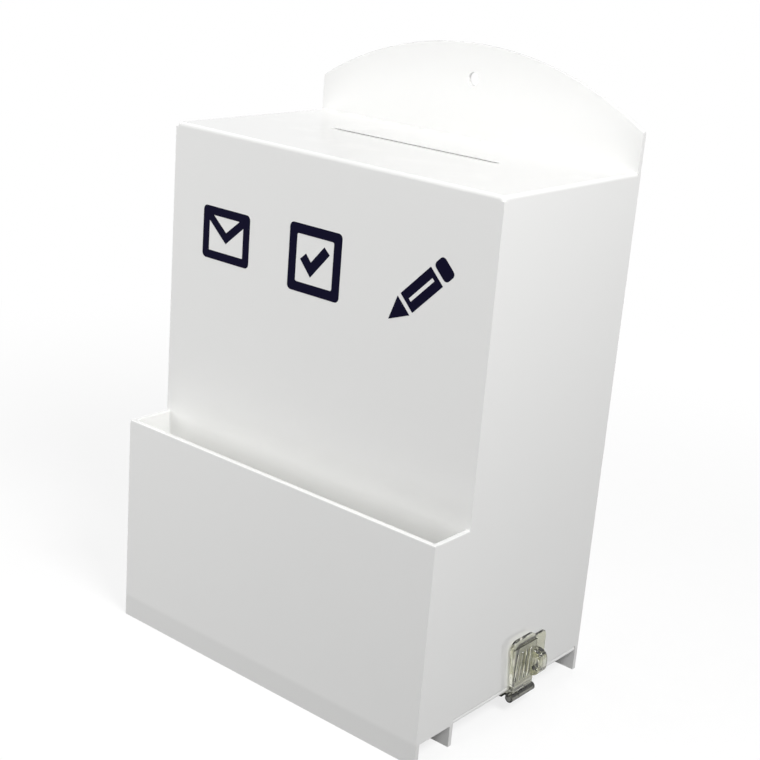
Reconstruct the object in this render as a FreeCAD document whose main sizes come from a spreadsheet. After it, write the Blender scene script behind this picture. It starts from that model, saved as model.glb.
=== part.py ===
"""Wall hung ballot box of bonded acrylic sheet, with a forms pocket and a hinged, lockable floor.

Frame: +Z up, the wall plane is y = 0 with the box in front of it (towards -Y), x = 0 is the middle of
the box and the feet stand on z = 0. All sizes are in millimetres.
"""

import FreeCAD, Part
import math
import os

import Sketcher

doc = FreeCAD.newDocument("ballot_box")

# Driving dimensions, one row each: alias, size, meaning
SIZES = (
    ("sheet_thick", 3.0, "thickness of every acrylic sheet"),
    ("box_width", 250.0, "left face to right face"),
    ("box_depth", 137.0, "front face of the box to the wall"),
    ("body_height", 328.5, "feet to the top surface"),
    ("foot_height", 14.0, "feet to the underside of the door"),
    ("shoulder_rise", 23.5, "top surface to the ends of the arch"),
    ("arch_rise", 35.5, "ends of the arch to its crown"),
    ("hang_hole_diameter", 8.5, "hole for a hook or screw"),
    ("hang_hole_drop", 22.0, "crown of the arch to the middle of the hanging hole"),
    ("slot_length", 130.0, "ballot slot, end to end"),
    ("slot_width", 4.5, "ballot slot, front to back"),
    ("slot_setback", 77.5, "front face of the box to the middle of the slot"),
    ("pocket_depth", 31.5, "front face of the pocket to the front face of the box"),
    ("pocket_height", 139.0, "feet to the rim of the pocket"),
    ("edge_round", 0.6, "flame polished sheet edges"),
    ("lid_corner_round", 3.0, "front corners of the top, seen from above"),
    ("lid_edge_round", 2.4, "upper edge of the top, at its front and sides"),
    ("door_edge_round", 1.9, "upper edges of the door, at its left and right"),
    ("door_gap", 0.4, "play round the door"),
    ("barrel_radius", 2.8, "outside of every hinge barrel"),
    ("barrel_length", 24.0, "every hinge barrel, end to end"),
    ("knuckle_length", 6.5, "each of a barrel's two end knuckles"),
    ("knuckle_gap", 0.4, "play between knuckles, and round a turning knuckle"),
    ("pin_radius", 1.0, "hinge pins"),
    ("pin_play", 0.05, "radial play of a pin in its bore"),
    ("pin_head_radius", 1.7, "riveted heads of the pins"),
    ("pin_head_thick", 0.7, "riveted heads of the pins"),
    ("bond_line", 0.08, "cement under a hinge leaf or the keeper"),
    ("leaf_thick", 1.6, "moulded hinge leaves"),
    ("leaf_reach", 22.0, "hinge leaf, from the edge of the door or panel"),
    ("leaf_overhang", 4.0, "hinge leaf beyond each end of its barrel"),
    ("leaf_corner_round", 3.0, "free corners of a hinge leaf"),
    ("mould_bevel", 0.4, "bevelled edges of moulded pieces and pin heads"),
    ("hinge_inset", 18.0, "end of the door to a door hinge's barrel"),
    ("hasp_setback", 56.0, "front face of the box to the hasp's barrel"),
    ("flap_thick", 2.4, "hasp flap at its hinge"),
    ("flap_lean", 1.0, "how much thicker the flap is at its upper edge"),
    ("flap_width", 25.5, "hasp flap at its upper edge"),
    ("flap_lead", 3.5, "how far the flap starts in front of the barrel"),
    ("flap_taper", 4.9, "how much narrower the flap is at its hinge"),
    ("flap_height", 38.9, "hasp flap, pin to upper edge"),
    ("flap_corner_round", 5.0, "upper corners of the flap"),
    ("flap_gap", 0.3, "play between flap and keeper"),
    ("lip_rise", 4.6, "height of the finger lip on top of the flap"),
    ("lip_step", 1.1, "how far the finger lip is set back"),
    ("rib_radius", 0.9, "finger ribs of the flap"),
    ("rib_inset", 5.6, "front edge of the flap to the middle of the first rib"),
    ("rib_pitch", 4.4, "middle to middle of the ribs"),
    ("rib_count", 4, "finger ribs of the flap"),
    ("rib_start", 10.5, "pin to the lower end of the ribs"),
    ("rib_length", 20.5, "finger ribs of the flap"),
    ("ear_thick", 3.6, "padlock ears of flap and keeper"),
    ("ear_gap", 0.4, "play between the two ears"),
    ("ear_round", 6.0, "outer corners of the ears"),
    ("eye_width", 4.8, "padlock eye, across"),
    ("eye_height", 9.0, "padlock eye, up and down"),
    ("eye_clear", 0.75, "face of the flap, at its hinge, to the padlock eye"),
    ("eye_wall", 1.3, "material outside the eye"),
    ("eye_end_wall", 3.7, "material above and below the eye"),
    ("eye_rise", 18.6, "pin to the middle of the eye"),
    ("keeper_inset", 4.0, "front end of the barrel to the keeper"),
    ("keeper_width", 33.3, "hasp keeper"),
    ("keeper_height", 27.8, "hasp keeper"),
    ("keeper_corner_round", 4.0, "upper corners of the keeper"),
)

sheet = doc.addObject("Spreadsheet::Sheet", "dims")
for row, (alias, size, meaning) in enumerate(SIZES, start=1):
    sheet.set(f"A{row}", alias)
    sheet.set(f"B{row}", str(size))
    sheet.setAlias(f"B{row}", alias)
    sheet.set(f"C{row}", meaning)
doc.recompute()

# Levels and planes of the box, worked out from the driving dimensions
HALF_WIDTH = "dims.box_width / 2"
FRONT = "-dims.box_depth"
BEHIND_FRONT = "(dims.sheet_thick - dims.box_depth)"
BEFORE_BACK = "-dims.sheet_thick"
POCKET_FRONT = "-(dims.box_depth + dims.pocket_depth)"
INSIDE_DEPTH = "(dims.box_depth - 2 * dims.sheet_thick)"
LID_UNDERSIDE = "(dims.body_height - dims.sheet_thick)"
SIDE_FOOT = "(dims.foot_height + dims.sheet_thick + dims.door_gap)"
SHOULDER = "(dims.body_height + dims.shoulder_rise)"
CROWN = "(dims.body_height + dims.shoulder_rise + dims.arch_rise)"
ARCH_RADIUS = "(dims.box_width ^ 2 / (8 * dims.arch_rise) + dims.arch_rise / 2)"
BARREL_HEIGHT = "dims.foot_height - dims.bond_line - dims.barrel_radius"
BARREL_OUT = "(dims.box_width / 2 + dims.bond_line + dims.barrel_radius)"

# Distances from a hinge pin's axis, outwards from the box and up
DOOR_EDGE_OUT = "(dims.barrel_radius + dims.bond_line + dims.door_gap)"
DOOR_TOP = "(dims.barrel_radius + dims.bond_line + dims.sheet_thick)"
DOOR_EDGE_SWEEP = f"sqrt({DOOR_EDGE_OUT} ^ 2 + dims.barrel_radius ^ 2)"
FLAP_FACE = "dims.flap_thick / 2"
FLAP_END = "(dims.flap_width - dims.flap_lead)"
FLAP_FOOT = "(dims.barrel_radius + dims.knuckle_gap)"
FLAP_STEP = "(dims.flap_height - dims.lip_rise)"
EAR_OUT = f"({FLAP_FACE} + dims.eye_clear + dims.eye_width + dims.eye_wall)"
EAR_HALF_HEIGHT = "(dims.eye_height / 2 + dims.eye_end_wall)"
MIDDLE_KNUCKLE_START = "(dims.knuckle_length + dims.knuckle_gap)"
MIDDLE_KNUCKLE_LENGTH = f"(dims.barrel_length - 2 * {MIDDLE_KNUCKLE_START})"


def value(expression):
    """The number an expression has now."""
    return float(sheet.evalExpression(expression))


def new_body(name, x="0", y="0", z="0"):
    """A piece of the box, placed by expressions."""
    body = doc.addObject("PartDesign::Body", name)
    body.Label = name
    for axis, expression in (("x", x), ("y", y), ("z", z)):
        body.setExpression(f"Placement.Base.{axis}", expression)
    return body


def new_sketch(body, role, lift="0", shift="0"):
    """A sketch on one of the body's own planes, lifted along its normal and shifted along its first axis."""
    sketch = body.newObject("Sketcher::SketchObject", f"{body.Name}_outline")
    plane = next(feature for feature in body.Origin.OriginFeatures if feature.Role == role)
    sketch.AttachmentSupport = [(plane, "")]
    sketch.MapMode = "FlatFace"
    sketch.setExpression("AttachmentOffset.Base.x", shift)
    sketch.setExpression("AttachmentOffset.Base.z", lift)
    return sketch


def constrain(sketch, kind, *members, size=None):
    """One constraint, bound to an expression where it has a size."""
    if size is None:
        sketch.addConstraint(Sketcher.Constraint(kind, *members))
        return
    index = sketch.addConstraint(Sketcher.Constraint(kind, *members, value(size)))
    sketch.setExpression(f"Constraints[{index}]", size)


def fix_point(sketch, geometry, end, across=None, up=None):
    """Holds a point of the sketch at its distances from the sketch's origin."""
    if across is not None:
        constrain(sketch, "DistanceX", -1, 1, geometry, end, size=across)
    if up is not None:
        constrain(sketch, "DistanceY", -1, 1, geometry, end, size=up)


def add_polygon(sketch, corners):
    """A closed outline of straight lines through corners given as expressions."""
    spots = [FreeCAD.Vector(value(across), value(up), 0) for across, up in corners]
    first = sketch.GeometryCount
    for spot, following in zip(spots, spots[1:] + spots[:1]):
        sketch.addGeometry(Part.LineSegment(spot, following), False)
    for index, (across, up) in enumerate(corners):
        before = first + (index - 1) % len(corners)
        constrain(sketch, "Coincident", before, 2, first + index, 1)
        fix_point(sketch, first + index, 1, across, up)


def add_rectangle(sketch, left, right, low, high):
    """A rectangle between four distances from the sketch's origin."""
    add_polygon(sketch, ((left, low), (right, low), (right, high), (left, high)))


def add_circle(sketch, across, up, radius):
    """A circle."""
    centre = FreeCAD.Vector(value(across), value(up), 0)
    circle = Part.Circle(centre, FreeCAD.Vector(0, 0, 1), value(radius))
    geometry = sketch.addGeometry(circle, False)
    fix_point(sketch, geometry, 3, across, up)
    constrain(sketch, "Radius", geometry, size=radius)


def add_arc(sketch, centre, radius, start_degrees, end_degrees):
    """An arc, drawn anticlockwise about a centre given as numbers."""
    circle = Part.Circle(FreeCAD.Vector(*centre, 0), FreeCAD.Vector(0, 0, 1), radius)
    arc = Part.ArcOfCircle(circle, math.radians(start_degrees), math.radians(end_degrees))
    return sketch.addGeometry(arc, False)


def add_line(sketch, start, end):
    """A line between two points given as numbers."""
    return sketch.addGeometry(Part.LineSegment(FreeCAD.Vector(*start, 0), FreeCAD.Vector(*end, 0)), False)


def add_oblong(sketch, ends, radius):
    """A slot with round ends about two centres given as expressions, the second right of or above the first."""
    (x0, y0), (x1, y1) = [(value(across), value(up)) for across, up in ends]
    bulge = value(radius)
    level = abs(x1 - x0) > abs(y1 - y0)
    side = (0, bulge) if level else (-bulge, 0)
    turn = 90 if level else 180
    first_end = add_arc(sketch, (x0, y0), bulge, turn, turn + 180)
    near_side = add_line(sketch, (x0 - side[0], y0 - side[1]), (x1 - side[0], y1 - side[1]))
    second_end = add_arc(sketch, (x1, y1), bulge, turn - 180, turn)
    far_side = add_line(sketch, (x1 + side[0], y1 + side[1]), (x0 + side[0], y0 + side[1]))
    loop = (first_end, near_side, second_end, far_side)
    for piece, following in zip(loop, loop[1:] + loop[:1]):
        constrain(sketch, "Tangent", piece, 2, following, 1)
    fix_point(sketch, first_end, 3, *ends[0])
    fix_point(sketch, second_end, 3, *ends[1])
    constrain(sketch, "Radius", first_end, size=radius)


def pad(body, sketch, length, reverse=False):
    """Thickens a sketch along its normal, or against it."""
    feature = body.newObject("PartDesign::Pad", f"{body.Name}_pad")
    feature.Profile = sketch
    feature.Reversed = reverse
    feature.setExpression("Length", length)
    doc.recompute()
    return feature


def dress_edges(body, kind, measure, size, wanted):
    """Works the edges of the body so far that a test on an edge's box and the whole box picks."""
    base = body.Tip
    whole = base.Shape.BoundBox
    names = [f"Edge{i}" for i, edge in enumerate(base.Shape.Edges, start=1) if wanted(edge.BoundBox, whole)]
    feature = body.newObject(f"PartDesign::{kind}", f"{body.Name}_{kind}")
    feature.Base = (base, names)
    feature.setExpression(measure, size)
    body.Tip = feature
    doc.recompute()


def round_edges(body, radius, wanted):
    """Rounds the edges that the test picks."""
    dress_edges(body, "Fillet", "Radius", radius, wanted)


def bevel_edges(body, wanted):
    """Bevels the edges of a moulded piece that the test picks."""
    dress_edges(body, "Chamfer", "Size", "dims.mould_bevel", wanted)


def turn(body, sketch, name):
    """Turns a sketch a whole round about its upright axis."""
    feature = body.newObject("PartDesign::Revolution", name)
    feature.Profile = sketch
    feature.ReferenceAxis = (sketch, ["V_Axis"])
    feature.Angle = 360
    doc.recompute()
    return feature


TOUCH = 1e-4


def on_low(box, axis, whole):
    """Whether an edge lies in the lowest plane of a shape along an axis."""
    return getattr(box, f"{axis}Max") < getattr(whole, f"{axis}Min") + TOUCH


def on_high(box, axis, whole):
    """Whether an edge lies in the highest plane of a shape along an axis."""
    return getattr(box, f"{axis}Min") > getattr(whole, f"{axis}Max") - TOUCH


def runs_along(box, axis):
    """Whether an edge is straight along an axis."""
    lengths = {"X": box.XLength, "Y": box.YLength, "Z": box.ZLength}
    return all(lengths[other] < TOUCH for other in lengths if other != axis)


def upright_sheet(name, y, height):
    """A full width sheet across the box that stands on the floor, with its front face at y."""
    body = new_body(name, y=y)
    sketch = new_sketch(body, "XZ_Plane")
    add_rectangle(sketch, f"-{HALF_WIDTH}", HALF_WIDTH, "0", height)
    pad(body, sketch, "dims.sheet_thick", reverse=True)
    return body


def end_sheet(name, side, front, depth, low, high):
    """A sheet that closes an end of the box or pocket, flush with the left (-1) or right (1) face."""
    inner = f"{HALF_WIDTH} - dims.sheet_thick" if side > 0 else f"-{HALF_WIDTH}"
    body = new_body(name, x=inner, y=front)
    sketch = new_sketch(body, "YZ_Plane")
    add_rectangle(sketch, "0", depth, low, high)
    pad(body, sketch, "dims.sheet_thick")
    return body


def level_sheet(name, z, left, right, front, back):
    """A level sheet with its underside at z, and its sketch for any cut-out."""
    body = new_body(name, z=z)
    sketch = new_sketch(body, "XY_Plane")
    add_rectangle(sketch, left, right, front, back)
    return body, sketch


def make_back_panel():
    """The tall rear sheet: arched top, hanging hole, and a foot below the door."""
    body = new_body("back_panel", y=BEFORE_BACK)
    sketch = new_sketch(body, "XZ_Plane")
    half, shoulder, crown = value(HALF_WIDTH), value(SHOULDER), value(CROWN)
    base = add_line(sketch, (-half, 0), (half, 0))
    right = add_line(sketch, (half, 0), (half, shoulder))
    circle = Part.Arc(*[FreeCAD.Vector(x, z, 0) for x, z in ((half, shoulder), (0, crown), (-half, shoulder))])
    arch = sketch.addGeometry(circle, False)
    left = add_line(sketch, (-half, shoulder), (-half, 0))
    constrain(sketch, "Coincident", base, 2, right, 1)
    constrain(sketch, "Coincident", right, 2, arch, 1)
    constrain(sketch, "Coincident", arch, 2, left, 1)
    constrain(sketch, "Coincident", left, 2, base, 1)
    fix_point(sketch, base, 1, f"-{HALF_WIDTH}", "0")
    fix_point(sketch, base, 2, HALF_WIDTH, "0")
    fix_point(sketch, right, 2, HALF_WIDTH, SHOULDER)
    fix_point(sketch, left, 1, f"-{HALF_WIDTH}", SHOULDER)
    constrain(sketch, "Radius", arch, size=ARCH_RADIUS)
    add_circle(sketch, "0", f"{CROWN} - dims.hang_hole_drop", "dims.hang_hole_diameter / 2")
    pad(body, sketch, "dims.sheet_thick", reverse=True)
    arch_foot = value(SHOULDER) - TOUCH
    hole_width = value("dims.hang_hole_diameter")
    round_edges(
        body, "dims.edge_round", lambda box, whole: box.ZMin > arch_foot and box.XLength > hole_width + TOUCH
    )
    return body


def make_top_panel():
    """The top sheet: it covers the front and side sheets, butts on the back and holds the ballot slot."""
    body, sketch = level_sheet("top_panel", LID_UNDERSIDE, f"-{HALF_WIDTH}", HALF_WIDTH, FRONT, BEFORE_BACK)
    slot_y = f"{FRONT} + dims.slot_setback"
    slot_reach = "(dims.slot_length - dims.slot_width) / 2"
    add_oblong(sketch, ((f"-{slot_reach}", slot_y), (slot_reach, slot_y)), "dims.slot_width / 2")
    pad(body, sketch, "dims.sheet_thick")
    round_edges(
        body, "dims.lid_corner_round", lambda box, whole: on_low(box, "Y", whole) and runs_along(box, "Z")
    )
    rim_front = value(FRONT) + value("dims.lid_corner_round") + TOUCH
    half = value(HALF_WIDTH)

    def on_rim(box, whole):
        outside = box.XMax < -half + TOUCH or box.XMin > half - TOUCH or box.YMax < rim_front
        return on_high(box, "Z", whole) and outside

    round_edges(body, "dims.lid_edge_round", on_rim)
    return body


def make_pocket_front_panel():
    """The front sheet of the forms pocket, which runs down as the front foot."""
    body = upright_sheet("pocket_front_panel", POCKET_FRONT, "dims.pocket_height")
    round_edges(
        body, "dims.edge_round", lambda box, whole: on_low(box, "Y", whole) and on_high(box, "Z", whole)
    )
    return body


def make_pocket_end(name, side):
    """An end of the forms pocket, from the level of its floor up to the rim."""
    front = f"{POCKET_FRONT} + dims.sheet_thick"
    depth = "dims.pocket_depth - dims.sheet_thick"
    body = end_sheet(name, side, front, depth, "dims.foot_height", "dims.pocket_height")
    round_edges(body, "dims.edge_round", lambda box, whole: on_high(box, "Z", whole) and runs_along(box, "Y"))
    return body


def make_pocket_floor():
    """The floor of the forms pocket, between its ends."""
    reach = f"({HALF_WIDTH} - dims.sheet_thick)"
    front = f"{POCKET_FRONT} + dims.sheet_thick"
    body, sketch = level_sheet("pocket_floor", "dims.foot_height", f"-{reach}", reach, front, FRONT)
    pad(body, sketch, "dims.sheet_thick")
    return body


def make_bottom_door():
    """The hinged floor of the box, under the side sheets and between the front and back ones."""
    reach = f"({HALF_WIDTH} - dims.door_gap)"
    front = f"{BEHIND_FRONT} + dims.door_gap"
    back = f"{BEFORE_BACK} - dims.door_gap"
    body, sketch = level_sheet("bottom_door", "dims.foot_height", f"-{reach}", reach, front, back)
    pad(body, sketch, "dims.sheet_thick")
    round_edges(body, "dims.edge_round", lambda box, whole: on_low(box, "Z", whole))
    round_edges(
        body, "dims.door_edge_round", lambda box, whole: on_high(box, "Z", whole) and runs_along(box, "Y")
    )
    return body


def hinge_body(name, side, y):
    """A body whose origin is on a hinge pin's axis at the barrel's front end, left (-1) or right (1)."""
    return new_body(name, x=f"{side} * {BARREL_OUT}", y=y, z=BARREL_HEIGHT)


def pad_between(body, sketch_maker, start, length):
    """Pads an outline across the box from a distance behind the hinge's front end."""
    sketch = new_sketch(body, "XZ_Plane", lift=f"-({start})")
    sketch_maker(sketch)
    return pad(body, sketch, length, reverse=True)


def close_loop(sketch, loop):
    """Joins each piece of an outline, drawn anticlockwise, to the next."""
    for piece, following in zip(loop, loop[1:] + loop[:1]):
        constrain(sketch, "Coincident", piece, 2, following, 1)


def centre_arc(sketch, arc, radius):
    """Centres an arc on the pin's axis."""
    constrain(sketch, "Coincident", arc, 3, -1, 1)
    constrain(sketch, "Radius", arc, size=radius)


def under_knuckle(side):
    """Outline of a knuckle on the level leaf under the door, whose top is flush with the barrel's."""
    def draw(sketch):
        radius, thick = value("dims.barrel_radius"), value("dims.leaf_thick")
        edge, underside = -side * value(DOOR_EDGE_OUT), radius - thick
        meet = (radius ** 2 - underside ** 2) ** 0.5
        rise = math.degrees(math.atan2(underside, meet))
        if side > 0:
            arc = add_arc(sketch, (0, 0), radius, 180 - rise, 450)
            top = add_line(sketch, (0, radius), (edge, radius))
            end = add_line(sketch, (edge, radius), (edge, underside))
            bottom = add_line(sketch, (edge, underside), (-meet, underside))
            loop = (arc, top, end, bottom)
            meeting_point, crown_point, corner = (arc, 1), (arc, 2), end
        else:
            arc = add_arc(sketch, (0, 0), radius, 90, 360 + rise)
            bottom = add_line(sketch, (meet, underside), (edge, underside))
            end = add_line(sketch, (edge, underside), (edge, radius))
            top = add_line(sketch, (edge, radius), (0, radius))
            loop = (arc, bottom, end, top)
            meeting_point, crown_point, corner = (arc, 2), (arc, 1), end
        close_loop(sketch, loop)
        centre_arc(sketch, arc, "dims.barrel_radius")
        fix_point(sketch, *crown_point, across="0")
        fix_point(sketch, *meeting_point, up="dims.barrel_radius - dims.leaf_thick")
        levels = ("dims.barrel_radius", "dims.barrel_radius - dims.leaf_thick")
        for point, level in zip((1, 2) if side > 0 else (2, 1), levels):
            fix_point(sketch, corner, point, f"{-side} * {DOOR_EDGE_OUT}", level)
    return draw


def wall_knuckle(top_level):
    """Outline of a knuckle on the upright leaf of the left face, whose back is flush with the barrel's."""
    def draw(sketch):
        radius, thick = value("dims.barrel_radius"), value("dims.leaf_thick")
        front, top = radius - thick, value(top_level)
        meet = (radius ** 2 - front ** 2) ** 0.5
        rise = math.degrees(math.atan2(meet, front))
        arc = add_arc(sketch, (0, 0), radius, rise, 360)
        back = add_line(sketch, (radius, 0), (radius, top))
        end = add_line(sketch, (radius, top), (front, top))
        face = add_line(sketch, (front, top), (front, meet))
        close_loop(sketch, (arc, back, end, face))
        centre_arc(sketch, arc, "dims.barrel_radius")
        fix_point(sketch, arc, 2, up="0")
        fix_point(sketch, arc, 1, across="dims.barrel_radius - dims.leaf_thick")
        fix_point(sketch, end, 1, "dims.barrel_radius", top_level)
        fix_point(sketch, end, 2, "dims.barrel_radius - dims.leaf_thick", top_level)
    return draw


def bore_barrel(body):
    """Drills the pin's bore through every knuckle of a body."""
    before = body.Shape.Volume
    sketch = new_sketch(body, "XZ_Plane")
    add_circle(sketch, "0", "0", "dims.pin_radius + dims.pin_play")
    bore = body.newObject("PartDesign::Pocket", f"{body.Name}_bore")
    bore.Profile = sketch
    bore.Type = "ThroughAll"
    doc.recompute()
    if body.Shape.Volume >= before:
        raise RuntimeError(f"the bore of {body.Label} cut nothing")


def end_knuckles(body, outline):
    """The two end knuckles of a barrel."""
    pad_between(body, outline, "0", "dims.knuckle_length")
    pad_between(body, outline, "dims.barrel_length - dims.knuckle_length", "dims.knuckle_length")


def middle_knuckle(body, outline):
    """The middle knuckle of a barrel."""
    pad_between(body, outline, MIDDLE_KNUCKLE_START, MIDDLE_KNUCKLE_LENGTH)


def pad_leaf(body, outline):
    """The plate of a hinge leaf, which runs past both ends of its barrel."""
    length = "dims.barrel_length + 2 * dims.leaf_overhang"
    pad_between(body, lambda sketch: add_rectangle(sketch, *outline), "-dims.leaf_overhang", length)


def make_under_leaf(name, side, y, knuckles):
    """A leaf bonded under the door, with knuckles made by the given function."""
    body = hinge_body(name, side, y)
    low, high = "dims.barrel_radius - dims.leaf_thick", "dims.barrel_radius"
    near, far = f"{-side} * {DOOR_EDGE_OUT}", f"{-side} * ({DOOR_EDGE_OUT} + dims.leaf_reach)"
    sides = (far, near) if side > 0 else (near, far)
    pad_leaf(body, (*sides, low, high))
    free_end = on_low if side > 0 else on_high
    round_edges(
        body, "dims.leaf_corner_round", lambda box, whole: free_end(box, "X", whole) and runs_along(box, "Z")
    )
    knuckle_side = on_high if side > 0 else on_low
    bevel_edges(body, lambda box, whole: on_low(box, "Z", whole) and not knuckle_side(box, "X", whole))
    knuckles(body, under_knuckle(side))
    bore_barrel(body)
    return body


def make_wall_leaf(name, y):
    """A door hinge's leaf on the left face, cut clear of the door leaf's turning knuckle."""
    body = hinge_body(name, -1, y)
    low = f"{DOOR_EDGE_SWEEP} + dims.knuckle_gap"
    high = f"{DOOR_TOP} + dims.leaf_reach"
    back, front = "dims.barrel_radius", "dims.barrel_radius - dims.leaf_thick"
    pad_leaf(body, (front, back, low, high))
    round_edges(
        body, "dims.leaf_corner_round", lambda box, whole: on_high(box, "Z", whole) and runs_along(box, "X")
    )
    bevel_edges(body, lambda box, whole: on_low(box, "X", whole) and not on_low(box, "Z", whole))
    end_knuckles(body, wall_knuckle(low))
    bore_barrel(body)
    return body


def make_pin(name, side, y):
    """A hinge pin with a riveted head at each end."""
    body = hinge_body(name, side, y)
    sketch = new_sketch(body, "XY_Plane")
    shank, head, crown = "dims.pin_radius", "dims.pin_head_radius", "dims.pin_head_radius - dims.mould_bevel"
    front_end, back_end = "-dims.pin_head_thick", "dims.barrel_length + dims.pin_head_thick"
    add_polygon(
        sketch,
        (
            ("0", front_end),
            (crown, front_end),
            (head, f"{front_end} + dims.mould_bevel"),
            (head, "0"),
            (shank, "0"),
            (shank, "dims.barrel_length"),
            (head, "dims.barrel_length"),
            (head, f"{back_end} - dims.mould_bevel"),
            (crown, back_end),
            ("0", back_end),
        ),
    )
    turn(body, sketch, f"{body.Name}_turned")
    return body


def ear_outline(root):
    """Outline of a padlock ear and its eye, from a root inside the plate that carries it."""
    def draw(sketch):
        low, high = f"dims.eye_rise - {EAR_HALF_HEIGHT}", f"dims.eye_rise + {EAR_HALF_HEIGHT}"
        add_rectangle(sketch, root, EAR_OUT, low, high)
        eye = f"{FLAP_FACE} + dims.eye_clear + dims.eye_width / 2"
        reach = "(dims.eye_height - dims.eye_width) / 2"
        ends = ((eye, f"dims.eye_rise - {reach}"), (eye, f"dims.eye_rise + {reach}"))
        add_oblong(sketch, ends, "dims.eye_width / 2")
    return draw


def add_ear(body, root, start):
    """A padlock ear standing out of a plate, rounded at its outer corners."""
    pad_between(body, ear_outline(root), start, "dims.ear_thick")
    tip = value(EAR_OUT) - TOUCH
    round_edges(body, "dims.ear_round", lambda box, whole: box.XMin > tip and runs_along(box, "Y"))


def flap_knuckle(sketch):
    """Outline of the flap's knuckle and the neck that rises from it."""
    radius, half, top = value("dims.barrel_radius"), value(FLAP_FACE), value(FLAP_FOOT)
    meet = (radius ** 2 - half ** 2) ** 0.5
    rise = math.degrees(math.atan2(meet, half))
    arc = add_arc(sketch, (0, 0), radius, 180 - rise, 360 + rise)
    outer = add_line(sketch, (half, meet), (half, top))
    end = add_line(sketch, (half, top), (-half, top))
    inner = add_line(sketch, (-half, top), (-half, meet))
    close_loop(sketch, (arc, outer, end, inner))
    centre_arc(sketch, arc, "dims.barrel_radius")
    fix_point(sketch, arc, 1, across=f"-{FLAP_FACE}")
    fix_point(sketch, arc, 2, across=FLAP_FACE)
    for point, across in ((1, FLAP_FACE), (2, f"-{FLAP_FACE}")):
        fix_point(sketch, end, point, across, FLAP_FOOT)


def add_ribs(body):
    """Finger ribs on the flap's outer face: round bars with tapered ends, sunk to their middle, in a row."""
    sketch = new_sketch(body, "YZ_Plane", lift=FLAP_FACE, shift="dims.rib_inset - dims.flap_lead")
    sketch.AttachmentOffset = FreeCAD.Placement(FreeCAD.Vector(), FreeCAD.Rotation(FreeCAD.Vector(1, 0, 0), 1))
    sketch.setExpression("AttachmentOffset.Rotation.Angle", "atan(dims.flap_lean / dims.flap_height)")
    low, high = "dims.rib_start", "dims.rib_start + dims.rib_length"
    add_polygon(
        sketch,
        (
            ("0", low),
            ("dims.rib_radius", f"{low} + dims.rib_radius"),
            ("dims.rib_radius", f"{high} - dims.rib_radius"),
            ("0", high),
        ),
    )
    rib = turn(body, sketch, "flap_rib")
    row = body.newObject("PartDesign::LinearPattern", "flap_ribs")
    row.Originals = [rib]
    row.Direction = (sketch, ["H_Axis"])
    row.Occurrences = int(value("dims.rib_count"))
    row.setExpression("Occurrences", "dims.rib_count")
    row.setExpression("Length", "dims.rib_pitch * (dims.rib_count - 1)")
    body.Tip = row
    doc.recompute()


def slope_flap(body):
    """Cuts the flap's outer side to its slope, and steps it back above for the finger lip."""
    sketch = new_sketch(body, "XZ_Plane")
    face = f"{FLAP_FACE} + dims.flap_lean * {FLAP_STEP} / dims.flap_height"
    lip = f"{face} - dims.lip_step"
    outside = f"{FLAP_FACE} + dims.flap_lean + dims.flap_thick"
    above = "dims.flap_height + dims.lip_rise"
    corners = (
        (FLAP_FACE, "0"), (outside, "0"), (outside, above), (lip, above), (lip, FLAP_STEP), (face, FLAP_STEP)
    )
    add_polygon(sketch, corners)
    cut = body.newObject("PartDesign::Pocket", "flap_slope_cut")
    cut.Profile = sketch
    cut.Type = "ThroughAll"
    cut.Midplane = True
    doc.recompute()


def make_hasp_flap(y):
    """The hasp's flap: tapered plate with a finger lip, knuckle, padlock ear and finger ribs."""
    body = hinge_body("hasp_flap", 1, y)
    sketch = new_sketch(body, "YZ_Plane", lift=f"-{FLAP_FACE}")
    front, top = "-dims.flap_lead", "dims.flap_height"
    foot_corner = (f"{front} + dims.flap_taper", FLAP_FOOT)
    add_polygon(sketch, (foot_corner, (FLAP_END, FLAP_FOOT), (FLAP_END, top), (front, top)))
    pad(body, sketch, "dims.flap_thick + dims.flap_lean")
    round_edges(
        body, "dims.flap_corner_round", lambda box, whole: on_high(box, "Z", whole) and runs_along(box, "X")
    )
    slope_flap(body)
    middle_knuckle(body, flap_knuckle)
    add_ear(body, f"-{FLAP_FACE}", f"{FLAP_END} - dims.ear_thick")
    add_ribs(body)
    bore_barrel(body)
    return body


def make_hasp_keeper(y):
    """The hasp's keeper plate behind the flap, with its padlock ear beside the flap's."""
    body = hinge_body("hasp_keeper", 1, y)
    low = f"{DOOR_TOP} + dims.door_gap"
    high = f"{low} + dims.keeper_height"
    face = f"-({FLAP_FACE} + dims.flap_gap)"
    outline = ("-dims.barrel_radius", face, low, high)
    pad_between(body, lambda sketch: add_rectangle(sketch, *outline), "dims.keeper_inset", "dims.keeper_width")
    round_edges(
        body, "dims.keeper_corner_round", lambda box, whole: on_high(box, "Z", whole) and runs_along(box, "X")
    )
    bevel_edges(body, lambda box, whole: on_high(box, "X", whole))
    add_ear(body, "-dims.barrel_radius", f"{FLAP_END} + dims.ear_gap")
    return body


def make_door_hinge(name, y):
    """A door hinge: the leaf on the wall, the leaf under the door, and the pin."""
    return [
        make_wall_leaf(f"{name}_wall_leaf", y),
        make_under_leaf(f"{name}_door_leaf", -1, y, middle_knuckle),
        make_pin(f"{name}_pin", -1, y),
    ]


def make_hasp():
    """The hasp: keeper on the side, leaf under the door, and the flap between them on its pin."""
    y = f"{FRONT} + dims.hasp_setback"
    return [
        make_hasp_keeper(y),
        make_hasp_flap(y),
        make_under_leaf("hasp_leaf", 1, y, end_knuckles),
        make_pin("hasp_pin", 1, y),
    ]


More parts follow.
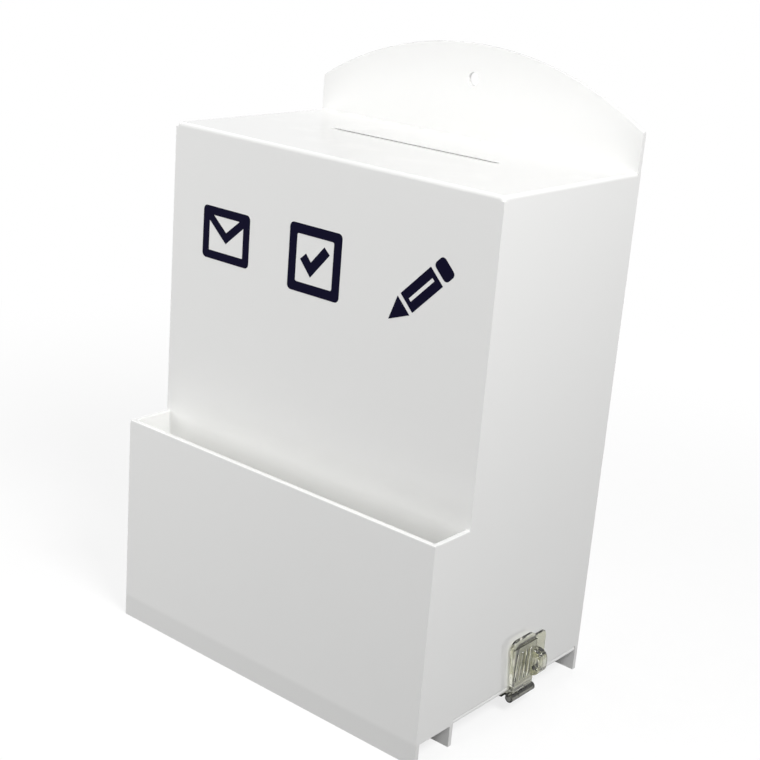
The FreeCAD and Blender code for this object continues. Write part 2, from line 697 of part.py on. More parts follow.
pieces = [
    make_back_panel(),
    upright_sheet("front_panel", FRONT, LID_UNDERSIDE),
    end_sheet("left_side_panel", -1, BEHIND_FRONT, INSIDE_DEPTH, SIDE_FOOT, LID_UNDERSIDE),
    end_sheet("right_side_panel", 1, BEHIND_FRONT, INSIDE_DEPTH, SIDE_FOOT, LID_UNDERSIDE),
    make_top_panel(),
    make_pocket_front_panel(),
    make_pocket_end("pocket_left_panel", -1),
    make_pocket_end("pocket_right_panel", 1),
    make_pocket_floor(),
    make_bottom_door(),
]
pieces += make_hasp()
pieces += make_door_hinge("front_hinge", f"{BEHIND_FRONT} + dims.door_gap + dims.hinge_inset")
pieces += make_door_hinge("rear_hinge", f"{BEFORE_BACK} - dims.door_gap - dims.hinge_inset - dims.barrel_length")
doc.recompute()

for item in doc.Objects:
    if "Invalid" in item.State or "Error" in item.State:
        raise RuntimeError(f"{item.Label} failed: {item.State}")
for piece in pieces:
    if piece.Shape.isNull() or not piece.Shape.isValid() or len(piece.Shape.Solids) != 1:
        raise RuntimeError(f"{piece.Label} is not one valid solid")

os.makedirs("parts", exist_ok=True)
for piece in pieces:
    piece.Shape.exportStep(f"parts/{piece.Label}.step")
    print(f"{piece.Label}: {piece.Shape.Volume / 1000:.2f} cm3")
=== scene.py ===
"""Looks of a wall hung ballot box: opal sheet, clear fittings, cement in the seams and a vinyl sign.

The file has the shape of an add-on and is run as a script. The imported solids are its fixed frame,
in metres: x to the right, y into the wall, z up from the feet.
"""

import math

import bmesh
import bpy
from bpy.props import FloatProperty, FloatVectorProperty, IntProperty, PointerProperty
from mathutils import Matrix, Vector


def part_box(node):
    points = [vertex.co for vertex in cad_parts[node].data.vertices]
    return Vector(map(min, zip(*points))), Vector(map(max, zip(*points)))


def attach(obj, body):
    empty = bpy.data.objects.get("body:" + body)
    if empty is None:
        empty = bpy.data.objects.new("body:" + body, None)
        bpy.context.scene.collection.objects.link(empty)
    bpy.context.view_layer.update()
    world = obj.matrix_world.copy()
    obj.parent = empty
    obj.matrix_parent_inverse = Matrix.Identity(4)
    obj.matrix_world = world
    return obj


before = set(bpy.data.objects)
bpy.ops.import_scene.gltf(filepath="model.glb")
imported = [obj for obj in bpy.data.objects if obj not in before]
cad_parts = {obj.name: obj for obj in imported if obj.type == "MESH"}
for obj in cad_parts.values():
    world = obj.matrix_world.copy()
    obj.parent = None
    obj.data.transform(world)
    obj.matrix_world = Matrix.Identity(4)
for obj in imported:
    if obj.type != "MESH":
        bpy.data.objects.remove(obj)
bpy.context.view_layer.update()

bl_info = {
    "name": "Ballot Box Looks",
    "version": (1, 0, 0),
    "blender": (4, 5, 0),
    "location": "View3D > Sidebar > Ballot Box",
    "description": "Finishes, seams, sign and stage for a wall hung acrylic ballot box",
    "category": "Object",
}

# The nodes of each finish. A sheet is listed under the axis that it lies square to.
SHEETS = {
    "X": ("left_side_panel", "right_side_panel", "pocket_left_panel", "pocket_right_panel"),
    "Y": ("back_panel", "front_panel", "pocket_front_panel"),
    "Z": ("top_panel", "pocket_floor", "bottom_door"),
}
CLEAR_FITTINGS = (
    "hasp_keeper",
    "hasp_flap",
    "hasp_leaf",
    "front_hinge_wall_leaf",
    "front_hinge_door_leaf",
    "rear_hinge_wall_leaf",
    "rear_hinge_door_leaf",
)
PINS = ("hasp_pin", "front_hinge_pin", "rear_hinge_pin")

MM = 0.001
ACRYLIC_IOR = 1.49
FOOT_LINE = (0.0125, 0.0165)  # heights between which the painted shade of a foot fades out into the look of the box
BARREL_LINE = (-0.0008, 0.0004)  # the same for the painted shade of the barrels, from the underside of the door
BEAD_STEP = 0.0025  # length of a bead between two changes of thickness
WELD = 1e-6  # distance within which the points of a symbol are one
FLOOR_RADIUS = 9.0
FLOOR_GLOW = 0.78  # what the floor adds to its own light near the box, to be nearly white
SHADOW_REACH = (0.2, 0.8)  # distances from the box between which the shadow fades out
SPARE_BOUNCES = 8  # for light that is mirrored or passes through clear plastic between white sheets

# Each lamp: the setting with its power, its place, the point it is aimed at, its size,
# and whether it shows in polished faces.
MIDDLE = (0.0, -0.07, 0.2)
LAMPS = (
    ("key", (0.815, -0.4, 1.03), MIDDLE, 0.45, True),
    ("fill", (-0.45, -0.88, 0.38), MIDDLE, 0.45, False),
    ("left", (-0.4, -0.03, 0.54), (-0.08, -0.09, 0.33), 0.25, True),
    ("behind", (-0.3, 1.1, 0.16), MIDDLE, 0.3, True),
)


class SheetFinish(bpy.types.PropertyGroup):
    """Opal acrylic sheet."""

    face_tint: FloatVectorProperty(
        name="Face", description="Colour of the polished faces", subtype="COLOR",
        default=(0.92, 0.92, 0.91), min=0, max=1,
    )
    edge_tint: FloatVectorProperty(
        name="Cut edge", description="Colour of the cut edges", subtype="COLOR",
        default=(0.92, 0.92, 0.91), min=0, max=1,
    )
    # Painted shade: the feet are painted darker, as they have no lit box behind them to show through.
    painted_foot_shade: FloatProperty(
        name="Foot shade", description="How much darker the feet look, with no box behind them",
        subtype="FACTOR", default=0.07, min=0, max=1,
    )
    polish: FloatProperty(
        name="Roughness", description="Roughness of a clean face", subtype="FACTOR",
        default=0.13, min=0, max=1,
    )


class FittingFinish(bpy.types.PropertyGroup):
    """Clear moulded plastic and steel pins."""

    tint: FloatVectorProperty(
        name="Clear plastic", description="Colour that the moulded plastic gives to light",
        subtype="COLOR", default=(0.80, 0.80, 0.70), min=0, max=1,
    )
    ior: FloatProperty(
        name="IOR", description="Refraction of the moulded plastic", default=1.52, min=1, max=2
    )
    # Painted shade: the barrels below the door are painted darker, standing for the dark pins and the shade
    # seen through them.
    painted_barrel_shade: FloatProperty(
        name="Painted barrel shade", description="How much darker the thick barrels look than the leaves",
        subtype="FACTOR", default=0.8, min=0, max=1,
    )
    steel: FloatVectorProperty(
        name="Pins", description="Colour of the steel pins", subtype="COLOR",
        default=(0.16, 0.16, 0.15), min=0, max=1,
    )


class SeamSizes(bpy.types.PropertyGroup):
    """Solvent cement left in the inner corners of the sheets."""

    bead: FloatProperty(
        name="Bead", description="Radius of the cement in a corner", unit="LENGTH",
        default=0.0005, min=0.0001, max=0.003,
    )
    unevenness: FloatProperty(
        name="Unevenness", description="How much a bead's thickness varies", subtype="FACTOR",
        default=0.5, min=0, max=1,
    )
    seed: IntProperty(name="Seed", description="Pattern of the unevenness", default=4, min=0)


class SignSizes(bpy.types.PropertyGroup):
    """Three cut vinyl symbols on the front."""

    height: FloatProperty(
        name="Height", description="Height of the symbols' middle above the feet", unit="LENGTH",
        default=0.2655,
    )
    film: FloatProperty(
        name="Film", description="Thickness of the vinyl", unit="LENGTH",
        default=0.00012, min=0.00005, max=0.001,
    )
    ink: FloatVectorProperty(
        name="Vinyl", description="Colour of the vinyl", subtype="COLOR",
        default=(0.0028, 0.0022, 0.014), min=0, max=1,
    )


class StageSettings(bpy.types.PropertyGroup):
    """Camera, lamps and floor."""

    camera_place: FloatVectorProperty(
        name="Camera", description="Where the camera stands", subtype="TRANSLATION",
        default=(0.5521, -0.7609, 0.4748),
    )
    camera_azimuth: FloatProperty(
        name="Azimuth", description="How far right of the front the camera stands", unit="ROTATION",
        default=math.radians(38.7151),
    )
    camera_elevation: FloatProperty(
        name="Elevation", description="How far the camera looks down", unit="ROTATION",
        default=math.radians(18.4456),
    )
    camera_roll: FloatProperty(
        name="Roll", description="How far the camera leans to the left", unit="ROTATION",
        default=math.radians(4.6181),
    )
    camera_lens: FloatProperty(name="Lens", description="Focal length", unit="CAMERA", default=69.77)
    key: FloatProperty(
        name="Key", description="Lamp high at the right", unit="POWER", default=11.3, min=0
    )
    fill: FloatProperty(
        name="Fill", description="Lamp at the front left", unit="POWER", default=3.2, min=0
    )
    left: FloatProperty(
        name="Left", description="Small lamp beside the top, at the left", unit="POWER", default=0.45, min=0
    )
    behind: FloatProperty(
        name="Behind", description="Low lamp behind the box", unit="POWER", default=6.0, min=0
    )
    room: FloatProperty(name="Room", description="Light from all round", default=0.26, min=0)
    bounces: IntProperty(
        name="Bounces", description="How often light may bounce between white sheets", default=16, min=1
    )
    floor_tint: FloatVectorProperty(
        name="Floor", description="Colour of the floor", subtype="COLOR",
        default=(0.22, 0.22, 0.22), min=0, max=1,
    )


class Wire:
    """A node's output that takes part in expressions: each operator adds a Math node."""

    def __init__(self, finish, socket):
        self.finish = finish
        self.socket = socket

    def maths(self, operation, *terms):
        return self.finish.add("ShaderNodeMath", {"operation": operation}, dict(enumerate(terms)))

    def __add__(self, other):
        return self.maths("ADD", self, other)

    def __rsub__(self, other):
        return self.maths("SUBTRACT", other, self)

    def __mul__(self, other):
        return self.maths("MULTIPLY", self, other)

    def __or__(self, other):
        return self.maths("MAXIMUM", self, other)

    def __abs__(self):
        return self.maths("ABSOLUTE", self)


class Finish:
    """The nodes of a material or world while they are put together."""

    def __init__(self, owner):
        self.owner = owner
        owner.use_nodes = True
        self.tree = owner.node_tree
        self.tree.nodes.clear()

    def add(self, kind, settings=None, inputs=None, output=0):
        """Adds a node, sets its settings and then its sockets, and returns one of its outputs."""
        node = self.tree.nodes.new(kind)
        for key, setting in (settings or {}).items():
            setattr(node, key, setting)
        for key, entry in (inputs or {}).items():
            if isinstance(entry, Wire):
                self.tree.links.new(entry.socket, node.inputs[key])
            else:
                node.inputs[key].default_value = entry
        return Wire(self, node.outputs[output]) if node.outputs else None

    def place(self):
        return self.add("ShaderNodeTexCoord", output="Object")

    def part(self, vector, axis):
        return self.add("ShaderNodeSeparateXYZ", None, {0: vector}, axis)

    def noise(self, place, scale, detail=2.0, stretch=None):
        if stretch:
            place = self.add("ShaderNodeMapping", None, {"Vector": place, "Scale": stretch})
        return self.add("ShaderNodeTexNoise", None, {"Vector": place, "Scale": scale, "Detail": detail})

    def step(self, level, start, end):
        """Rises smoothly from 0 where the level is at start to 1 where it is at end."""
        return self.add(
            "ShaderNodeMapRange",
            {"interpolation_type": "SMOOTHSTEP"},
            {"Value": level, "From Min": start, "From Max": end},
        )

    def mix(self, factor, first, second, kind="MIX"):
        settings = {"data_type": "RGBA", "blend_type": kind}
        return self.add("ShaderNodeMix", settings, {0: factor, 6: first, 7: second}, 2)

    def bump(self, height, strength, distance):
        inputs = {"Height": height, "Strength": strength, "Distance": distance}
        return self.add("ShaderNodeBump", None, inputs)

    def close(self, shader, kind="ShaderNodeOutputMaterial"):
        self.add(kind, None, {"Surface": shader})
        return self.owner

    def principled(self, **sockets):
        """Closes the material with one shader, whose sockets are named with underscores for spaces."""
        inputs = {key.replace("_", " "): entry for key, entry in sockets.items()}
        return self.close(self.add("ShaderNodeBsdfPrincipled", None, inputs))


def opaque(colour):
    """A colour socket's four numbers."""
    return (*colour, 1.0)


def opal_sheet(axis):
    """Polished opal sheet that lies square to an axis, with sawn and scraped edges."""
    look = bpy.context.scene.ballot_sheet
    finish = Finish(bpy.data.materials.new(f"opal_sheet_{axis.lower()}"))
    place = finish.place()
    facing = abs(finish.part(finish.add("ShaderNodeTexCoord", output="Normal"), axis))
    edge = 1 - finish.step(facing, 0.45, 0.8)
    clouds = finish.noise(place, 7.0, 3.0)
    tint = finish.mix(edge, opaque(look.face_tint), opaque(look.edge_tint))
    tint = finish.mix(clouds * 0.06, tint, (0.75, 0.77, 0.76, 1), "MULTIPLY")
    # Painted shade: below the box the feet of the upright sheets are painted darker, as no lit box shows
    # through them.
    if axis == "Y":
        foot_shade_mask = 1 - finish.step(finish.part(place, "Z"), *FOOT_LINE)
        tint = finish.mix(foot_shade_mask * look.painted_foot_shade, tint, (0, 0, 0, 1))
    smears = finish.step(finish.noise(place, 26.0, 4.0, stretch=(1.0, 1.0, 0.45)), 0.5, 0.75)
    wipes = finish.step(finish.noise(place, 90.0, 5.0, stretch=(0.25, 0.25, 3.0)), 0.58, 0.8)
    roughness = smears * 0.07 + wipes * 0.05 + edge * 0.04 + look.polish
    ripple = finish.noise(place, 55.0, 1.0)
    across = tuple(0.03 if axis == other else 1.0 for other in "XYZ")
    saw_marks = finish.noise(place, 1500.0, 2.0, stretch=across)
    relief = ripple * 0.05 + saw_marks * edge * 0.3
    return finish.principled(
        Base_Color=tint,
        Roughness=roughness,
        IOR=ACRYLIC_IOR,
        Normal=finish.bump(relief, 0.12, 0.0004),
    )


def clear_plastic():
    """Clear moulded plastic with flow lines, a slightly smoky body and painted shade on the barrels below
    the door.
    """
    look = bpy.context.scene.ballot_fittings
    finish = Finish(bpy.data.materials.new("clear_plastic"))
    place = finish.place()
    flow = finish.noise(place, 140.0, 3.0, stretch=(1.0, 1.0, 0.25))
    haze = finish.step(finish.noise(place, 420.0, 3.0), 0.45, 0.75)
    tint = finish.mix(flow * 0.5, opaque(look.tint), opaque([level * 0.82 for level in look.tint]))
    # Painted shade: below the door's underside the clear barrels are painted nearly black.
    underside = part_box("bottom_door")[0].z
    barrel_shade_mask = 1 - finish.step(finish.part(place, "Z"), *(underside + offset for offset in BARREL_LINE))
    tint = finish.mix(barrel_shade_mask * look.painted_barrel_shade, tint, (0.05, 0.05, 0.035, 1))
    return finish.principled(
        Base_Color=tint,
        Roughness=haze * 0.09 + 0.05,
        IOR=look.ior,
        Transmission_Weight=1.0,
        Normal=finish.bump(flow, 0.04, 0.0003),
    )


def pin_steel():
    """Drawn steel wire with fine rings from turning."""
    look = bpy.context.scene.ballot_fittings
    finish = Finish(bpy.data.materials.new("pin_steel"))
    place = finish.place()
    rings = finish.noise(place, 4000.0, 2.0, stretch=(0.05, 1.0, 0.05))
    stains = finish.noise(place, 500.0, 3.0)
    tint = finish.mix(finish.step(stains, 0.45, 0.7) * 0.5, opaque(look.steel), (0.07, 0.065, 0.055, 1))
    return finish.principled(
        Base_Color=tint,
        Metallic=1.0,
        Roughness=stains * 0.25 + 0.2,
        Normal=finish.bump(rings, 0.25, 0.0001),
    )


def seam_cement():
    """Set solvent cement, glossier than the sheet and a little cloudy."""
    finish = Finish(bpy.data.materials.new("seam_cement"))
    place = finish.place()
    cloud = finish.noise(place, 300.0, 3.0)
    pits = finish.noise(place, 1800.0, 1.0)
    return finish.principled(
        Base_Color=finish.mix(cloud * 0.4, (0.90, 0.90, 0.89, 1), (0.78, 0.79, 0.79, 1)),
        Roughness=cloud * 0.15 + 0.04,
        IOR=ACRYLIC_IOR,
        Normal=finish.bump(pits, 0.2, 0.0002),
    )


def cut_vinyl():
    """Satin sign vinyl: a fine orange peel and faint squeegee strokes."""
    ink = bpy.context.scene.ballot_sign.ink
    finish = Finish(bpy.data.materials.new("cut_vinyl"))
    place = finish.place()
    peel = finish.noise(place, 2200.0, 2.0)
    strokes = finish.noise(place, 160.0, 3.0, stretch=(0.15, 1.0, 1.6))
    rubbed = [level * 1.8 + 0.002 for level in ink]
    return finish.principled(
        Base_Color=finish.mix(strokes * 0.5, opaque(ink), opaque(rubbed)),
        Roughness=strokes * 0.15 + 0.5,
        Specular_IOR_Level=0.05,
        Normal=finish.bump(peel * 0.5 + strokes * 0.4, 0.15, 0.0002),
    )


def dress(nodes, material):
    """Gives CAD nodes a finish."""
    for name in nodes:
        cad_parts[name].material_slots[0].material = material


def new_piece(name, mesh, body):
    """A finished mesh as a piece that moves with a body."""
    piece = bpy.data.objects.new(name, mesh)
    bpy.context.scene.collection.objects.link(piece)
    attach(piece, body)
    return piece


def baked(draft):
    """The mesh that a draft object gives with its modifiers or curve settings; the draft is removed."""
    mesh = bpy.data.meshes.new_from_object(draft.evaluated_get(bpy.context.evaluated_depsgraph_get()))
    bpy.data.objects.remove(draft)
    return mesh


def seam_tree():
    """Geometry nodes that lay an uneven bead of cement along every edge of a mesh."""
    tree = bpy.data.node_groups.new("seam_bead", "GeometryNodeTree")
    sockets = tree.interface
    sockets.new_socket("Edges", in_out="INPUT", socket_type="NodeSocketGeometry")
    sockets.new_socket("Bead radius", in_out="INPUT", socket_type="NodeSocketFloat")
    sockets.new_socket("Unevenness", in_out="INPUT", socket_type="NodeSocketFloat")
    sockets.new_socket("Seed", in_out="INPUT", socket_type="NodeSocketFloat")
    sockets.new_socket("Cement", in_out="INPUT", socket_type="NodeSocketMaterial")
    sockets.new_socket("Beads", in_out="OUTPUT", socket_type="NodeSocketGeometry")
    nodes, links = tree.nodes, tree.links
    given = nodes.new("NodeGroupInput")

    def add(kind, settings=None, inputs=None):
        node = nodes.new(kind)
        for key, setting in (settings or {}).items():
            setattr(node, key, setting)
        for key, entry in (inputs or {}).items():
            if isinstance(entry, bpy.types.NodeSocket):
                links.new(entry, node.inputs[key])
            else:
                node.inputs[key].default_value = entry
        return node

    lines = add("GeometryNodeMeshToCurve", None, {0: given.outputs["Edges"]})
    cuts = {"Curve": lines.outputs[0], "Length": BEAD_STEP}
    steps = add("GeometryNodeResampleCurve", {"mode": "LENGTH"}, cuts)
    pattern = {"W": given.outputs["Seed"], "Scale": 90.0}
    wander = add("ShaderNodeTexNoise", {"noise_dimensions": "4D"}, pattern)
    swing = add("ShaderNodeMath", {"operation": "SUBTRACT"}, {0: wander.outputs[0], 1: 0.5})
    factors = {0: swing.outputs[0], 1: given.outputs["Unevenness"]}
    swing = add("ShaderNodeMath", {"operation": "MULTIPLY"}, factors)
    width = add("ShaderNodeMath", {"operation": "ADD"}, {0: swing.outputs[0], 1: 1.0})
    radii = {"Curve": steps.outputs[0], "Radius": width.outputs[0]}
    thick = add("GeometryNodeSetCurveRadius", None, radii)
    round_bead = {"Resolution": 10, "Radius": given.outputs["Bead radius"]}
    ring = add("GeometryNodeCurvePrimitiveCircle", None, round_bead)
    sweep = {"Curve": thick.outputs[0], "Profile Curve": ring.outputs[0], "Fill Caps": True}
    beads = add("GeometryNodeCurveToMesh", None, sweep)
    smooth = add("GeometryNodeSetShadeSmooth", None, {"Geometry": beads.outputs[0]})
    whole = add("GeometryNodeRealizeInstances", None, {"Geometry": smooth.outputs[0]})
    coat = {"Geometry": whole.outputs[0], "Material": given.outputs["Cement"]}
    coated = add("GeometryNodeSetMaterial", None, coat)
    add("NodeGroupOutput", None, {"Beads": coated.outputs[0]})
    return tree


def seam_lines():
    """The inner corners where sheets are cemented, as pairs of end points."""
    front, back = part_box("front_panel"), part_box("back_panel")
    lid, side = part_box("top_panel"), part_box("right_side_panel")
    pocket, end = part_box("pocket_front_panel"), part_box("pocket_right_panel")
    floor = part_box("pocket_floor")
    lines = [((-side[0].x, back[0].y, lid[1].z), (side[0].x, back[0].y, lid[1].z))]
    for y in (front[1].y, back[0].y):
        lines.append(((-side[0].x, y, lid[0].z), (side[0].x, y, lid[0].z)))
        for x in (-side[0].x, side[0].x):
            lines.append(((x, y, side[0].z), (x, y, lid[0].z)))
    for x in (-side[0].x, side[0].x):
        lines.append(((x, front[1].y, lid[0].z), (x, back[0].y, lid[0].z)))
    for y in (pocket[1].y, front[0].y):
        for z in (floor[0].z, floor[1].z):
            lines.append(((floor[0].x, y, z), (floor[1].x, y, z)))
        for x in (-end[0].x, end[0].x):
            lines.append(((x, y, floor[1].z), (x, y, end[1].z)))
    for x in (-end[0].x, end[0].x):
        lines.append(((x, pocket[1].y, floor[1].z), (x, front[0].y, floor[1].z)))
    return lines


def rounded_box(width, height, radius, steps=5):
    """Outline of a rectangle about the origin with round corners, in millimetres."""
    points = []
    for corner in range(4):
        start = math.radians(90 * corner)
        along = 1 if corner in (0, 3) else -1
        above = 1 if corner < 2 else -1
        middle = (along * (width / 2 - radius), above * (height / 2 - radius))
        for step in range(steps + 1):
            angle = start + math.radians(90) * step / steps
            points.append((middle[0] + radius * math.cos(angle), middle[1] + radius * math.sin(angle)))
    return points


def stroke(points, width):
    """Outline of a bent line of even width, with square ends and mitred bends."""
    spots = [Vector(point) for point in points]
    runs = [(end - start).normalized() for start, end in zip(spots, spots[1:])]
    sides = [Vector((-run.y, run.x)) for run in runs]
    offsets = [sides[0]]
    for before, after in zip(sides, sides[1:]):
        offsets.append((before + after) / (1 + before.dot(after)))
    offsets.append(sides[-1])
    left = [spot + offset * width / 2 for spot, offset in zip(spots, offsets)]
    right = [spot - offset * width / 2 for spot, offset in zip(spots, offsets)]
    return [tuple(point) for point in left + right[::-1]]


def turned(outline, degrees):
    """An outline turned about the origin."""
    spin = Matrix.Rotation(math.radians(degrees), 2)
    return [tuple(spin @ Vector(point)) for point in outline]


def envelope():
    """An envelope in bold line: the flap's and the body's openings are cut out of a rounded card."""
    flap = [(-11.2, 11.2), (11.2, 11.2), (0.0, 1.9)]
    body = [(-14.6, 7.6), (0.0, -5.0), (14.6, 7.6), (14.6, -11.2), (-14.6, -11.2)]
    return [rounded_box(40.0, 33.0, 3.0), flap, body]


def ticked_box():
    """A box with a tick in it."""
    tick = stroke([(-9.0, 1.5), (-2.6, -5.6), (9.4, 8.2)], 6.0)
    return [rounded_box(41.0, 41.0, 3.0), rounded_box(29.0, 29.0, 1.2), tick]


def pencil():
    """A slanting pencil: rubber, shaft and point with gaps between them."""
    shaft = [(-16.0, -6.6), (11.5, -6.6), (11.5, 6.6), (-16.0, 6.6)]
    groove = [(-13.0, -1.1), (8.5, -1.1), (8.5, 1.1), (-13.0, 1.1)]
    point = [(14.2, -6.6), (28.5, 0.0), (14.2, 6.6)]
    rubber = [(x - 23.0, y) for x, y in rounded_box(8.6, 13.2, 2.6)]
    return [turned(outline, -135) for outline in (shaft, groove, point, rubber)]


# Each symbol: its piece, its outlines and where its middle is, from left to right.
SYMBOLS = (
    ("sign_envelope", envelope, -0.0775),
    ("sign_ticked_box", ticked_box, -0.004),
    ("sign_pencil", pencil, 0.0745),
)


def symbol_mesh(name, outlines, film):
    """A flat symbol cut from film, standing upright on the origin's plane and facing -y."""
    curve = bpy.data.curves.new(name, "CURVE")
    curve.dimensions = "2D"
    curve.fill_mode = "BOTH"
    curve.extrude = film / 2
    for outline in outlines:
        spline = curve.splines.new("POLY")
        spline.points.add(len(outline) - 1)
        spline.use_cyclic_u = True
        for point, (across, up) in zip(spline.points, outline):
            point.co = (across * MM, up * MM, 0, 1)
    draft = bpy.data.objects.new(name, curve)
    bpy.context.scene.collection.objects.link(draft)
    mesh = baked(draft)
    cut = bmesh.new()
    cut.from_mesh(mesh)
    bmesh.ops.remove_doubles(cut, verts=cut.verts, dist=WELD)
    bmesh.ops.recalc_face_normals(cut, faces=cut.faces)
    cut.to_mesh(mesh)
    cut.free()
    mesh.transform(Matrix.Translation((0, -film / 2, 0)) @ Matrix.Rotation(math.radians(90), 4, "X"))
    return mesh


class BALLOT_OT_sheets(bpy.types.Operator):
    """Gives the sheets their opal finish, with cut edges and smears"""

    bl_idname = "ballot.sheets"
    bl_label = "Finish the sheets"

    def execute(self, context):
        for axis, nodes in SHEETS.items():
            dress(nodes, opal_sheet(axis))
        return {"FINISHED"}


class BALLOT_OT_fittings(bpy.types.Operator):
    """Gives the hasp and the hinges clear plastic, and their pins steel"""

    bl_idname = "ballot.fittings"
    bl_label = "Finish the hasp and hinges"

    def execute(self, context):
        dress(CLEAR_FITTINGS, clear_plastic())
        dress(PINS, pin_steel())
        return {"FINISHED"}


class BALLOT_OT_seams(bpy.types.Operator):
    """Lays beads of set cement in the inner corners of the sheets"""

    bl_idname = "ballot.seams"
    bl_label = "Lay the seams"

    def execute(self, context):
        sizes = context.scene.ballot_seams
        lines = seam_lines()
        mesh = bpy.data.meshes.new("seam_cement")
        points = [point for line in lines for point in line]
        mesh.from_pydata(points, [(2 * i, 2 * i + 1) for i in range(len(lines))], [])
        draft = bpy.data.objects.new("seam_lines", mesh)
        context.scene.collection.objects.link(draft)
        modifier = draft.modifiers.new("Beads", "NODES")
        modifier.node_group = seam_tree()
        settings = {
            "Bead radius": sizes.bead,
            "Unevenness": sizes.unevenness,
            "Seed": float(sizes.seed),
            "Cement": seam_cement(),
        }
        for item in modifier.node_group.interface.items_tree:
            if item.name in settings:
                modifier[item.identifier] = settings[item.name]
        new_piece("seam_cement", baked(draft), "box")
        return {"FINISHED"}


class BALLOT_OT_sign(bpy.types.Operator):
    """Sticks three vinyl symbols on the front"""

    bl_idname = "ballot.sign"
    bl_label = "Stick the sign on"

    def execute(self, context):
        sizes = context.scene.ballot_sign
        vinyl = cut_vinyl()
        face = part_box("front_panel")[0].y
        for name, outlines, across in SYMBOLS:
            mesh = symbol_mesh(name, outlines(), sizes.film)
            mesh.transform(Matrix.Translation((across, face, sizes.height)))
            mesh.materials.append(vinyl)
            new_piece(name, mesh, "box")
        return {"FINISHED"}


def white_to_the_eye(finish, lit, white):
    """Chooses the white shader for what the camera sees directly, mirrored or through clear plastic."""
    path = finish.add("ShaderNodeLightPath").socket.node
    names = ("Is Camera Ray", "Is Glossy Ray", "Is Transmission Ray")
    seen, mirrored, through = [Wire(finish, path.outputs[name]) for name in names]
    return finish.add("ShaderNodeMixShader", None, {0: seen | mirrored | through, 1: lit, 2: white})


def add_lamp(name, place, target, size, power, mirrored):
    """A square soft lamp aimed at a point, which shows in polished faces if it is mirrored."""
    data = bpy.data.lights.new(name, "AREA")
    data.shape = "SQUARE"
    data.size = size
    data.energy = power
    lamp = bpy.data.objects.new(name, data)
    lamp.location = place
    lamp.rotation_euler = (Vector(target) - Vector(place)).to_track_quat("-Z", "Y").to_euler()
    lamp.visible_camera = False
    lamp.visible_glossy = mirrored
    bpy.context.scene.collection.objects.link(lamp)


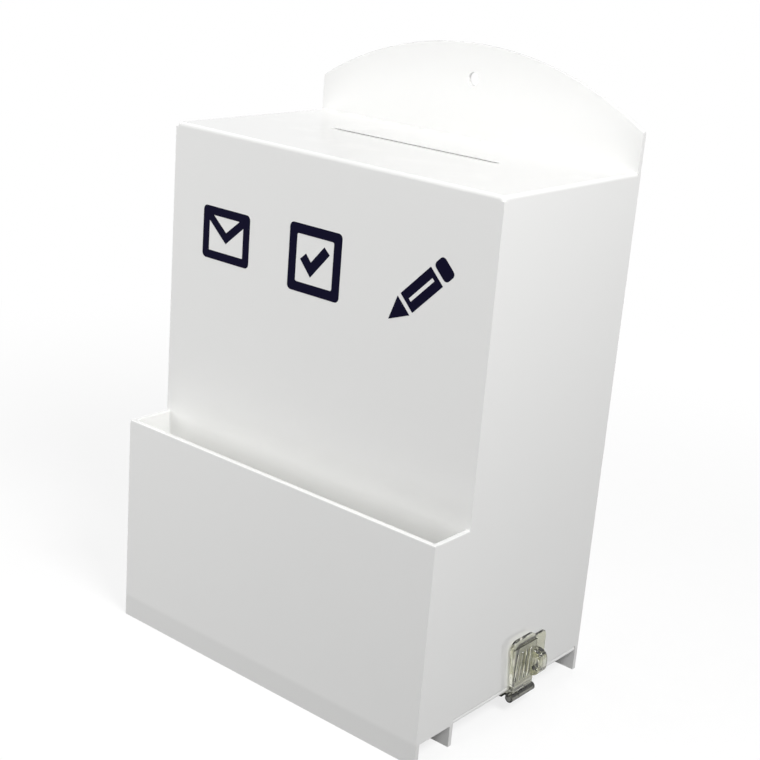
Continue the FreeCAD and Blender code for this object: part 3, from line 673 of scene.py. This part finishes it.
class BALLOT_OT_stage(bpy.types.Operator):
    """Sets the camera, the soft lamps, the room's light and the pale floor"""

    bl_idname = "ballot.stage"
    bl_label = "Set the stage"

    def execute(self, context):
        scene, look = context.scene, context.scene.ballot_stage
        scene.view_settings.view_transform = "Standard"
        scene.cycles.diffuse_bounces = look.bounces
        scene.cycles.max_bounces = look.bounces + SPARE_BOUNCES
        self.set_camera(scene, look)
        for name, place, target, size, mirrored in LAMPS:
            add_lamp(f"lamp_{name}", place, target, size, getattr(look, name), mirrored)
        self.set_room(scene, look)
        self.lay_floor(scene, look)
        return {"FINISHED"}

    def set_camera(self, scene, look):
        data = bpy.data.cameras.new("camera")
        data.lens = look.camera_lens
        camera = bpy.data.objects.new("camera", data)
        turn = Matrix.Rotation(look.camera_azimuth, 4, "Z")
        tilt = Matrix.Rotation(math.radians(90) - look.camera_elevation, 4, "X")
        lean = Matrix.Rotation(look.camera_roll, 4, "Z")
        camera.matrix_world = Matrix.Translation(look.camera_place) @ turn @ tilt @ lean
        scene.collection.objects.link(camera)
        scene.camera = camera

    def set_room(self, scene, look):
        scene.world = bpy.data.worlds.new("room")
        finish = Finish(scene.world)
        lit = finish.add("ShaderNodeBackground", None, {"Color": (1, 1, 1, 1), "Strength": look.room})
        white = finish.add("ShaderNodeBackground", None, {"Color": (1, 1, 1, 1), "Strength": 1.0})
        finish.close(white_to_the_eye(finish, lit, white), "ShaderNodeOutputWorld")

    def lay_floor(self, scene, look):
        """A round floor that keeps the shadow near the box and is plain white further off."""
        rim = bmesh.new()
        bmesh.ops.create_circle(rim, cap_ends=True, segments=96, radius=FLOOR_RADIUS)
        mesh = bpy.data.meshes.new("floor")
        rim.to_mesh(mesh)
        rim.free()
        floor = bpy.data.objects.new("floor", mesh)
        scene.collection.objects.link(floor)
        finish = Finish(bpy.data.materials.new("floor"))
        place = finish.place()
        distance = finish.add("ShaderNodeVectorMath", {"operation": "LENGTH"}, {0: place}, "Value")
        grain = finish.noise(place, 60.0, 4.0)
        mottle = finish.mix(grain * 0.1, opaque(look.floor_tint), (0.4, 0.4, 0.4, 1))
        lit = finish.add("ShaderNodeBsdfDiffuse", None, {"Color": mottle})
        glow = finish.add("ShaderNodeEmission", None, {"Color": (1, 1, 1, 1), "Strength": FLOOR_GLOW})
        near = finish.add("ShaderNodeAddShader", None, {0: lit, 1: glow})
        white = finish.add("ShaderNodeEmission", None, {"Color": (1, 1, 1, 1), "Strength": 1.0})
        far = finish.step(distance, *SHADOW_REACH)
        shown = finish.add("ShaderNodeMixShader", None, {0: far, 1: near, 2: white})
        mesh.materials.append(finish.close(white_to_the_eye(finish, lit, shown)))


class BALLOT_PT_looks(bpy.types.Panel):
    """Lists the steps that dress the ballot box, with their sizes and colours"""

    bl_label = "Ballot Box"
    bl_space_type = "VIEW_3D"
    bl_region_type = "UI"
    bl_category = "Ballot Box"

    def draw(self, context):
        for operator, group in STEPS:
            column = self.layout.box().column()
            column.operator(operator.bl_idname)
            settings = getattr(context.scene, group)
            for name in settings.__annotations__:
                column.prop(settings, name)


GROUPS = {
    "ballot_sheet": SheetFinish,
    "ballot_fittings": FittingFinish,
    "ballot_seams": SeamSizes,
    "ballot_sign": SignSizes,
    "ballot_stage": StageSettings,
}
STEPS = (
    (BALLOT_OT_sheets, "ballot_sheet"),
    (BALLOT_OT_fittings, "ballot_fittings"),
    (BALLOT_OT_seams, "ballot_seams"),
    (BALLOT_OT_sign, "ballot_sign"),
    (BALLOT_OT_stage, "ballot_stage"),
)
CLASSES = (*GROUPS.values(), *(operator for operator, group in STEPS), BALLOT_PT_looks)


def register():
    for each in CLASSES:
        bpy.utils.register_class(each)
    for name, group in GROUPS.items():
        setattr(bpy.types.Scene, name, PointerProperty(type=group))


def unregister():
    for name in GROUPS:
        delattr(bpy.types.Scene, name)
    for each in reversed(CLASSES):
        bpy.utils.unregister_class(each)


def main():
    register()
    bpy.ops.ballot.sheets()
    bpy.ops.ballot.fittings()
    bpy.ops.ballot.seams()
    bpy.ops.ballot.sign()
    bpy.ops.ballot.stage()


if __name__ == "__main__":
    main()
